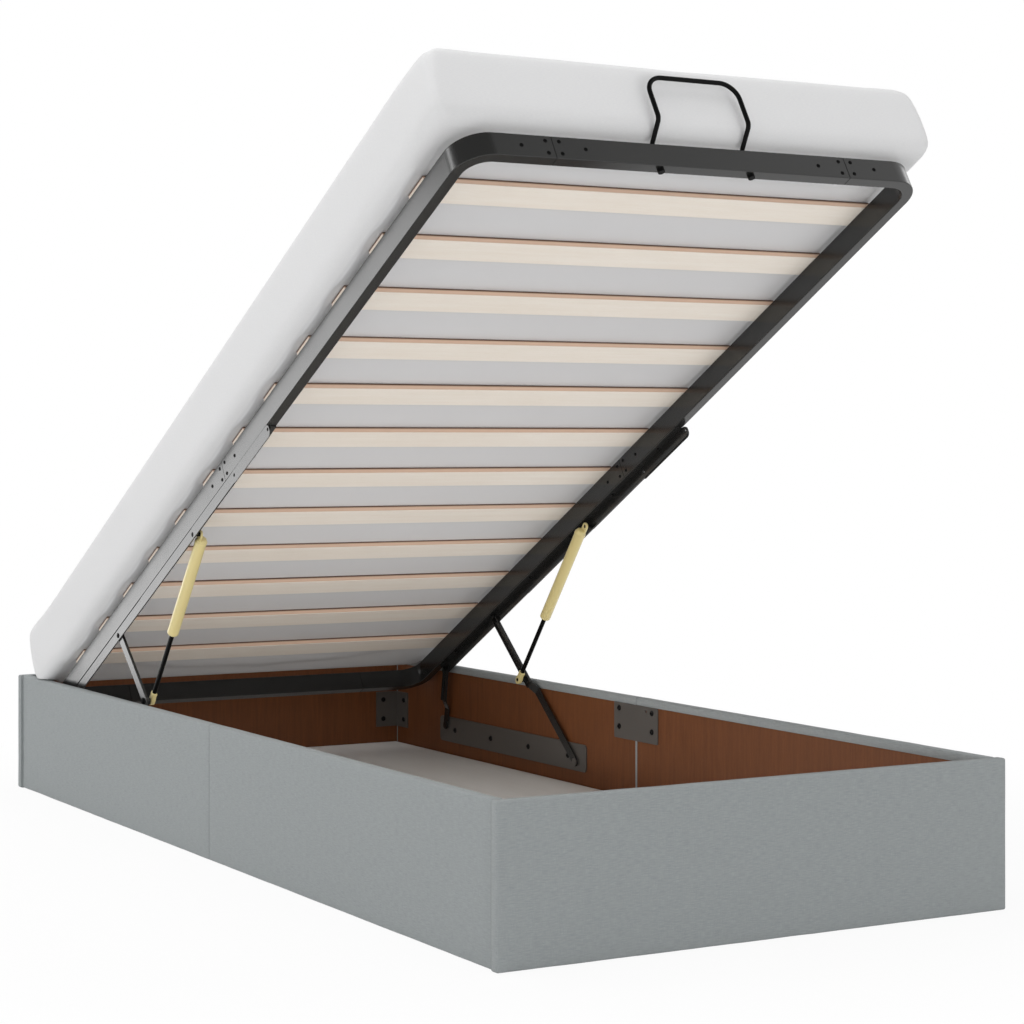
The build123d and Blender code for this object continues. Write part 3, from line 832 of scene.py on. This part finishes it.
def make_tube():
    """Six lengths of rounded steel tube."""
    for end, y, out in (("foot", TUBE_WIDTH / 2, -1), ("tail", frame_length - TUBE_WIDTH / 2, 1)):
        straight = [(Vector((x, y)), Vector((0, out))) for x in (-foot_rail_half, foot_rail_half)]
        lengths = [(straight, f"{end}_tube", f"{end}_rail")]
        for name, side in SIDES:
            corner = f"corner_tube_{end}_{name}", f"corner_rail_{end}_{name}"
            lengths.append((tube_stations(side, end), *corner))
        for stations, name, node in lengths:
            mesh = closed_mesh(name, tube_form(stations), raised)
            new_piece(name, mesh, "frame_steel", "platform", node)


# Angle under each long rail, with its overlay plates and holes

ANGLE_WALL = 2.5 * MM
ANGLE_LEG = 2.0 * MM
ANGLE_DEPTH = 21.0 * MM
ANGLE_EDGE = 0.4 * MM
ANGLE_GROOVE = 1.3 * MM
HOLE_RISE = -10.2 * MM
HOLE_RADIUS = 3.2 * MM
HOLE_PLACES = (0.7886, 0.9492)
LEG_CORNER = 2 * MM
LEG_SLACK = 0.02 * MM
OVERLAY = 0.6 * MM
OVERLAY_EDGE = 0.15 * MM

# Each overlay plate's end along the frame, how far it stands proud and how far it hangs below the angle

OVERLAYS = ((1.4600, 0.5 * MM, 0.3 * MM), (1.1720, 1.0 * MM, 0.6 * MM), (0.9600, 1.6 * MM, 2.6 * MM))


def flange_outline(stop, deeper=0):
    radius = ANGLE_DEPTH / 2 - ANGLE_GROOVE
    return box_outline(angle_low.y, stop, -ANGLE_DEPTH - deeper, -ANGLE_GROOVE, radius, 6)


def make_angles():
    holes = [round_outline(HOLE_RADIUS, (place, HOLE_RISE)) for place in HOLE_PLACES]
    leg = box_outline(angle_low.y + ANGLE_DEPTH / 2, angle_high.y - ANGLE_DEPTH / 2,
                      half_width - TUBE_WIDTH, half_width - ANGLE_WALL, LEG_CORNER)
    for name, side in SIDES:
        outer = side * (half_width - ANGLE_WALL / 2)
        flat = axes_at((0, 0, -ANGLE_LEG / 2), (0, 1, 0), (side, 0, 0), (0, 0, 1))
        parts = [flat_plate("flange", [flange_outline(angle_high.y)] + holes, ANGLE_WALL, ANGLE_EDGE,
                            upright_plane(outer)),
                 flat_plate("leg", [leg], ANGLE_LEG - LEG_SLACK, ANGLE_EDGE, flat)]
        for stop, proud, deeper in OVERLAYS:
            near = [hole for hole, place in zip(holes, HOLE_PLACES) if place < stop]
            parts.append(flat_plate("overlay", [flange_outline(stop, deeper)] + near, OVERLAY, OVERLAY_EDGE,
                                    upright_plane(side * (half_width + proud - OVERLAY / 2))))
        mesh = joined(f"lift_angle_{name}", parts, raised)
        new_piece(f"lift_angle_{name}", mesh, "frame_steel", "platform", f"top_plate_{name}")


# Mattress

PAD_STEP = 20 * MM
PAD_LOW_EDGE = 27 * MM
PAD_TOP_EDGE = 29 * MM
PAD_LOW_CORNER = 21 * MM
PAD_CORNER = 12 * MM
PAD_TOP_CORNER = 24 * MM
PAD_DRAW = 14 * MM
PAD_DRAW_REACH = 160 * MM
PAD_INSET = Vector((-2.0, 2.0, 0)) * MM
PAD_SINK = 5 * MM
PAD_SWELL = 4.5 * MM
RIM_CLEAR = 1.6 * MM
RIM_REACH = 10 * MM
RIM_SLOPE = 0.8
PAD_BELLY = 4.0 * MM
PAD_FRAMES = 14
PAD_CLOTH = {"quality": 5, "mass": 0.3, "tension_stiffness": 30, "compression_stiffness": 30,
             "bending_stiffness": 8, "use_pressure": True, "uniform_pressure_force": 4.0}
ARC_SHARES = (0, 0.076, 0.293, 0.617, 1.0)
CORNER_ENDS = [PAD_TOP_CORNER * share for share in (0, 0.13, 0.26, 0.42, 0.66, 1.0)]
pad_low, pad_high = raised_box("mattress")


def eased(value):
    """Share of a way that starts and ends softly."""
    share = min(value, 1)
    return share * share * (3 - 2 * share)


def edge_inset(radius, away):
    """How far a quarter-round edge has drawn in, at a distance from its flat face."""
    inside = max(radius - away, 0)
    return radius - math.sqrt(radius * radius - inside * inside)


def pad_form():
    """Mattress before it is filled: crisp upright corners, and the left foot corner drawn in above."""
    low = pad_low + PAD_INSET
    high = pad_high - PAD_INSET - Vector((0, 0, PAD_SINK))
    middle = (low + high) / 2
    half = (high - low) / 2
    upright = {low.z + PAD_LOW_EDGE * share for share in ARC_SHARES} | {middle.z}
    upright |= {high.z - PAD_TOP_EDGE * share for share in ARC_SHARES}
    mesh = box_grid([grid_lines(low.x, high.x, CORNER_ENDS, PAD_STEP),
                     grid_lines(low.y, high.y, CORNER_ENDS, PAD_STEP), sorted(upright)])
    for vert in mesh.verts:
        place = vert.co - middle
        from_low, from_top = vert.co.z - low.z, high.z - vert.co.z
        inset = max(edge_inset(PAD_LOW_EDGE, from_low), edge_inset(PAD_TOP_EDGE, from_top))
        corner = PAD_CORNER + (PAD_LOW_CORNER - PAD_CORNER) * (1 - eased(from_low / (2 * PAD_LOW_EDGE)))
        corner += (PAD_TOP_CORNER - PAD_CORNER) * (1 - eased(from_top / (2 * PAD_TOP_EDGE)))
        reach = Vector((half.x - inset, half.y - inset))
        flat = Vector((place.x * reach.x / half.x, place.y * reach.y / half.y))
        straight = reach - Vector.Fill(2, corner)
        core = clamped(flat, -straight, straight)
        out = flat - core
        if out.length > 0:
            flat = core + out * max(abs(out.x), abs(out.y)) / out.length
        if place.x < 0:
            near = max(1 - (place.y + half.y) / PAD_DRAW_REACH, 0)
            above = eased(from_low / (high.z - low.z))
            flat.x += PAD_DRAW * near * near * above * -place.x / half.x
        vert.co = middle + Vector((flat.x, flat.y, place.z))
    mesh.normal_update()
    return mesh


def fill_pad(piece):
    """Cloth with pressure swells the pad; it is held on the slats, and the foam lets no point go far."""
    rest = [vert.co.copy() for vert in piece.data.vertices]
    held = piece.vertex_groups.new(name="held")
    for vert, start in zip(piece.data.vertices, rest):
        if start.z < pad_low.z + MM and any(low.y < start.y < high.y for low, high in slat_boxes):
            held.add([vert.index], 1.0, "REPLACE")
    cloth = piece.modifiers.new("filling", "CLOTH")
    for name, value in PAD_CLOTH.items():
        setattr(cloth.settings, name, value)
    cloth.settings.effector_weights.gravity = 0
    cloth.settings.vertex_group_mass = "held"
    cloth.point_cache.frame_start = 1
    cloth.point_cache.frame_end = PAD_FRAMES
    for step in range(1, PAD_FRAMES + 1):
        scene.frame_set(step)
    filled = piece.evaluated_get(bpy.context.evaluated_depsgraph_get())
    places = [vert.co.copy() for vert in filled.to_mesh().vertices]
    filled.to_mesh_clear()
    piece.modifiers.clear()
    piece.vertex_groups.clear()
    scene.frame_set(1)
    for vert, place, start in zip(piece.data.vertices, places, rest):
        move = place - start
        limit = PAD_BELLY if start.z < pad_low.z + MM else PAD_SWELL
        if move.length > limit:
            move = move.normalized() * limit
        vert.co = start + move


def press_on_rim(mesh):
    """The side boards' rim presses the foam up where the tail of the mattress lies on it."""
    low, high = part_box("side_cover_rear_right")
    top = high.z + RIM_CLEAR
    for vert in mesh.vertices:
        inside = max(low.x - RIM_REACH - abs(vert.co.x), 0)
        vert.co.z = max(vert.co.z, top - RIM_SLOPE * inside)


def make_mattress():
    form = pad_form()
    cloth_map(form)
    piece = linked("filling_pad", smooth_mesh("mattress_pad", form))
    fill_pad(piece)
    smooth = piece.modifiers.new("smooth", "SUBSURF")
    smooth.levels = smooth.render_levels = 1
    data = baked(piece, "mattress_pad")
    data.transform(raised)
    press_on_rim(data)
    piece = new_piece("mattress_pad", data, "mattress", "platform", "mattress")


# Gas struts

STRUT_SIDES = 32
STRUT_EYE_WALL = 4.0 * MM
STRUT_EYE_SHIFT = 5.5 * MM
STRUT_X = 409.5 * MM
LOWER_EYE_WALL = 9.0 * MM
LOWER_EYE_END = 6.5 * MM
ARM_FACE = 427.2 * MM
EYE_NECK = 13 * MM
UPPER_EYE_EDGE = 0.6 * MM
LOWER_EYE_EDGE = 1.1 * MM
UPPER_EYE = 7.6 * MM
UPPER_HOLE = 3.7 * MM
LOWER_HOLE = 3.6 * MM
X_WAY = Vector((1, 0, 0))
joint_of = {joint["name"]: joint for joint in frame["joints"]}
strut_top = Vector(joint_of["strut_left_swing"]["pos_m"])
strut_way = Vector(joint_of["strut_left_stroke"]["axis"]).normalized()
eye_far = max((vert.co - strut_top).dot(strut_way) for vert in nodes["strut_eye_left"].data.vertices)
low_pivot = strut_top + strut_way * (eye_far - LOWER_EYE_END)


def along_strut(side):
    """Place of a form made about Z, so that Z runs down the strut from its upper pivot."""
    return axes_at((side * STRUT_X, *strut_top.yz), X_WAY, strut_way.cross(X_WAY), strut_way)


def flat_on_strut(x, pivot):
    """Place of a plate across X: its own x runs down the strut from a pivot."""
    return axes_at((x, *pivot.yz), strut_way, X_WAY.cross(strut_way), X_WAY)


# Outlines in millimetres: radius and distance down the strut, and the upper half of the lower eye

BODY_PROFILE = [(0, 9.0), (6.5, 9.4), (8.8, 10.6), (9.8, 12.6), (10.0, 15.0), (11.4, 15.6), (11.6, 16.4),
                (11.6, 20.6), (11.3, 21.4), (10.7, 21.8), (10.7, 22.6), (11.0, 23.2), (11.0, 237.0),
                (10.7, 239.2), (9.6, 240.6), (7.4, 241.0), (0, 241.0)]
GLAND_PROFILE = [(0, 240.2), (6.6, 240.2), (6.8, 241.4), (6.4, 243.6), (5.2, 244.2), (0, 244.2)]
EYE_HALF = [(9.6, 2.6), (7.0, 5.4), (3.0, 6.8), (-4.0, 6.8), (-9.0, 5.6), (-13.0, 5.3), (-17.5, 6.3),
            (-21.0, 5.4)]
LOWER_EYE = [(x, -y) for x, y in reversed(EYE_HALF)] + EYE_HALF


def in_metres(points):
    return [(x * MM, y * MM) for x, y in points]


def make_struts():
    upper_eye = arc((0, 0), UPPER_EYE, 90, 12, 180) + [(EYE_NECK, -UPPER_EYE), (EYE_NECK, UPPER_EYE)]
    for name, side in SIDES:
        body = closed_mesh("tube", lathe(in_metres(BODY_PROFILE), STRUT_SIDES), along_strut(side))
        eye_x = side * (STRUT_X + STRUT_EYE_SHIFT)
        upper = flat_plate("upper_eye", [upper_eye, round_outline(UPPER_HOLE)], STRUT_EYE_WALL,
                           UPPER_EYE_EDGE, flat_on_strut(eye_x, strut_top))
        new_piece(f"strut_tube_{name}", joined("strut_tube", [body, upper]), "strut_body",
                  f"strut_cylinder_{name}", f"strut_cylinder_{name}")
        gland = closed_mesh("gland", lathe(in_metres(GLAND_PROFILE), STRUT_SIDES), along_strut(side))
        new_piece(f"strut_gland_{name}", gland, "black_fittings", f"strut_cylinder_{name}")
        lower = flat_plate("lower_eye", [in_metres(LOWER_EYE), round_outline(LOWER_HOLE)], LOWER_EYE_WALL,
                           LOWER_EYE_EDGE, flat_on_strut(side * STRUT_X, low_pivot))
        new_piece(f"strut_foot_{name}", lower, "strut_body", f"strut_rod_{name}", f"strut_eye_{name}")


# Plates on the boards

PLATE = 2.5 * MM
PLATE_CORNER = 3 * MM
PLATE_EDGE = 0.5 * MM
BOLT_HOLE = 3.2 * MM
SPARE_HOLE = 2.8 * MM
SPARE_PLACE = (-0.036, 0.2155)


def make_plates():
    """Joining plates over the side boards' seams, with their holes."""
    for name, side in SIDES:
        node = f"joining_plate_{name}"
        low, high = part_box(node)
        seats = [seat for seat, way in bolt_places if abs(seat.y) < high.y and seat.x * side > 0]
        holes = [round_outline(BOLT_HOLE, (seat.y, seat.z), 16) for seat in seats]
        holes.append(round_outline(SPARE_HOLE, SPARE_PLACE, 12))
        outline = box_outline(low.y, high.y, low.z, high.z, PLATE_CORNER)
        mesh = flat_plate(node, [outline] + holes, PLATE, PLATE_EDGE, upright_plane((low.x + high.x) / 2))
        new_piece(f"seam_plate_{name}", mesh, "dark_plate", "root", node)


# Fasteners, set out by geometry nodes

SPIN_SEED = 4


def fastener_tree():
    """Sets a fitting on each point, turned to the way it faces, and gives it one material."""
    tree = bpy.data.node_groups.new("set_fasteners", "GeometryNodeTree")
    for way, label, kind in (("INPUT", "Geometry", "Geometry"), ("INPUT", "Fitting", "Object"),
                             ("INPUT", "Spin", "Float"), ("INPUT", "Finish", "Material"),
                             ("OUTPUT", "Geometry", "Geometry")):
        tree.interface.new_socket(name=label, in_out=way, socket_type="NodeSocket" + kind)
    given = tree.nodes.new("NodeGroupInput").outputs
    fitting = add(tree, "GeometryNodeObjectInfo", {"Object": given["Fitting"]})
    facing = add(tree, "GeometryNodeInputNamedAttribute", {"Name": "facing"}, data_type="FLOAT_VECTOR")
    turn = add(tree, "FunctionNodeAlignRotationToVector", {"Vector": facing.outputs[0]}, axis="Z")
    spin = add(tree, "FunctionNodeRandomValue", {"Seed": SPIN_SEED}, data_type="FLOAT")
    put(spin.inputs[3], given["Spin"])
    around = add(tree, "ShaderNodeCombineXYZ", {"Z": spin.outputs[1]})
    local = add(tree, "FunctionNodeEulerToRotation", {"Euler": around.outputs[0]})
    both = wired(tree, "FunctionNodeRotateRotation", turn.outputs[0], local.outputs[0],
                 rotation_space="LOCAL")
    place = add(tree, "GeometryNodeInstanceOnPoints",
                {"Points": given["Geometry"], "Instance": fitting.outputs["Geometry"], "Rotation": both})
    real = add(tree, "GeometryNodeRealizeInstances", {"Geometry": place.outputs[0]})
    finish = add(tree, "GeometryNodeSetMaterial", {"Geometry": real.outputs[0], "Material": given["Finish"]})
    end = tree.nodes.new("NodeGroupOutput")
    put(end.inputs["Geometry"], finish.outputs[0])
    return tree


def set_out(name, places, fitting, spin, slot):
    """Mesh with a fitting at each place; a place is a point and the way it faces."""
    mesh = bpy.data.meshes.new(name)
    mesh.from_pydata([point for point, way in places], [], [])
    facing = mesh.attributes.new("facing", "FLOAT_VECTOR", "POINT")
    facing.data.foreach_set("vector", [part for point, way in places for part in way])
    points = linked(name + "_points", mesh)
    modifier = points.modifiers.new("fasteners", "NODES")
    modifier.node_group = fastener_group
    values = {"Fitting": fitting, "Spin": spin, "Finish": finishes[slot]}
    for item in fastener_group.interface.items_tree:
        if item.name in values:
            modifier[item.identifier] = values[item.name]
    return baked(points, name)


fastener_group = fastener_tree()

SPLICE_FAR = 56 * MM
SPLICE_NEAR = 12 * MM
SPLICE_RISE = 11 * MM
ANGLE_SCREWS = 6
PIN_PROUD = 0.2 * MM
PIN_PLACES = ((1.597, -12.0 * MM), (1.845, -12.0 * MM), (1.1675, -13.5 * MM))

# Each head's radius, rise, and radius and depth of its socket in millimetres, and its sides

HEADS = {"screw_head": (3.3, 1.3, 1.32, 0.91, 20), "bolt_head": (5.5, 2.8, 2.2, 2.2, 24),
         "pin_end": (5.0, 1.6, 1.6, 0.6, 24), "eye_pin": (3.6, 0.5, 1.44, 0.2, 20),
         "pivot_nut": (6.5, 4.5, 3.0, 1.0, 6)}


def turned_head(name):
    """Low domed head with a round socket, its seat a little below zero."""
    *sizes, sides = HEADS[name]
    radius, rise, socket, depth = (size * MM for size in sizes)
    profile = [(0, -0.2 * rise), (radius, -0.2 * rise), (radius, 0.25 * rise), (radius * 0.9, 0.65 * rise),
               (radius * 0.7, 0.9 * rise), (socket * 1.15, rise), (socket, rise * 0.93),
               (socket, rise - depth), (0, rise - depth * 1.1)]
    return bpy.data.objects.new(name, closed_mesh(name, lathe(profile, sides)))


def splice_places():
    """Screws round the six seams of the frame's tube, outside and on the sides' inner faces."""
    pattern = [(-SPLICE_FAR, 0), (SPLICE_FAR, 0)]
    pattern += [(x * SPLICE_NEAR, y * SPLICE_RISE) for x, y in ((-1, -1), (-1, 1), (1, -1), (1, 1))]
    places = []
    for along, rise in pattern:
        middle = frame_length / 2 + along
        for side in (-1, 1):
            across = side * (foot_rail_half + along)
            spots = ((side * half_width, middle, side, 0),
                     (side * (half_width - TUBE_WIDTH), middle, -side, 0),
                     (across, 0, 0, -1), (across, frame_length, 0, 1))
            places += [(Vector((x, y, RAIL_DEPTH / 2 + rise)), Vector((out_x, out_y, 0)))
                       for x, y, out_x, out_y in spots]
    return places


def angle_screw_places():
    """Screws up through the angle into each long rail."""
    step = (angle_high.y - angle_low.y) / ANGLE_SCREWS
    across = half_width - TUBE_WIDTH / 2
    return [(Vector((side * across, angle_low.y + step * (n + 0.5), -ANGLE_LEG)), Vector((0, 0, -1)))
            for side in (-1, 1) for n in range(ANGLE_SCREWS)]


def on_frame(places):
    turn = raised.to_3x3()
    return [(raised @ point, turn @ way) for point, way in places]


def islands(node):
    """Points of each separate solid of a node."""
    mesh = bmesh.new()
    mesh.from_mesh(nodes[node].data)
    bmesh.ops.remove_doubles(mesh, verts=mesh.verts, dist=5 * WELD)
    left = set(mesh.verts)
    found = []
    while left:
        group, border = [], {left.pop()}
        while border:
            group += [vert.co.copy() for vert in border]
            border = {edge.other_vert(vert) for vert in border for edge in vert.link_edges} & left
            left -= border
        found.append(group)
    mesh.free()
    return found


HEAD_RIM = 0.4


def bolt_seats():
    """Seat and facing of each bolt, read from the frame's own bolts."""
    seats = []
    for points in islands("board_bolts"):
        low, high = Vector(map(min, *points)), Vector(map(max, *points))
        size = high - low
        axis = 0 if size.x > size.y else 1
        middle = (low + high) / 2
        heads = [point[axis] for point in points if abs(point.z - middle.z) > size.z * HEAD_RIM]
        side = 1 if sum(heads) / len(heads) > middle[axis] else -1
        seat = middle.copy()
        seat[axis] = min(heads) if side > 0 else max(heads)
        way = Vector((0, 0, 0))
        way[axis] = side
        seats.append((seat, way))
    return sorted(seats, key=lambda place: tuple(round(part, 4) for part in place[0]))


SLAT_SHORT = 3.6 * MM
SLAT_EASE = 1.3 * MM
SLAT_STEP = 60 * MM


def make_slats():
    """Twelve alike slats with eased edges, each where the frame has it."""
    half = (slat_boxes[0][1] - slat_boxes[0][0]) / 2 - Vector((SLAT_SHORT, 0, 0))
    ends = [SLAT_EASE * share for share in (0, 0.3, 1.0)]
    form = box_grid([grid_lines(-half[n], half[n], ends, SLAT_STEP) for n in range(3)])
    inner = half - Vector.Fill(3, SLAT_EASE)
    for vert in form.verts:
        core = clamped(vert.co, -inner, inner)
        vert.co = core + (vert.co - core).normalized() * SLAT_EASE
    slat = bpy.data.objects.new("slat_form", closed_mesh("slat_form", form))
    places = [((low + high) / 2, Vector((0, 0, 1))) for low, high in slat_boxes]
    mesh = set_out("slats", places, slat, 0.0, "slat_wood")
    mesh.transform(raised)
    new_piece("slats", mesh, "slat_wood", "platform", *slat_names)


bolt_places = bolt_seats()


def fasten():
    """Every fitting: its name, its head, its places and the body it rides on."""
    pins = [(Vector((side * (half_width + PIN_PROUD), place, rise)), Vector((side, 0, 0)))
            for side in (-1, 1) for place, rise in PIN_PLACES]
    fittings = [("splice_screws", "screw_head", on_frame(splice_places()), "platform"),
                ("angle_screws", "screw_head", on_frame(angle_screw_places()), "platform"),
                ("bolt_heads", "bolt_head", bolt_places, "root"),
                ("pin_ends", "pin_end", on_frame(pins), "platform")]
    for name, side in SIDES:
        inner = Vector((side * (STRUT_X - LOWER_EYE_WALL / 2), *low_pivot.yz))
        outer = Vector((side * ARM_FACE, *low_pivot.yz))
        fittings += [(f"eye_pin_{name}", "eye_pin", [(inner, Vector((-side, 0, 0)))], f"strut_rod_{name}"),
                     (f"pivot_nut_{name}", "pivot_nut", [(outer, Vector((side, 0, 0)))], f"front_arm_{name}")]
    heads = {name: turned_head(name) for name in HEADS}
    for name, head, places, body in fittings:
        slot, replaced = ("bolt_steel", ["board_bolts"]) if head == "bolt_head" else ("black_fittings", [])
        new_piece(name, set_out(name, places, heads[head], 2 * math.pi, slot), slot, body, *replaced)


scene.view_settings.view_transform = "Standard"
place_camera()
light_studio()
lay_floor()
finish_nodes()
dress_base()
make_tube()
make_angles()
make_mattress()
make_struts()
make_plates()
make_slats()
fasten()
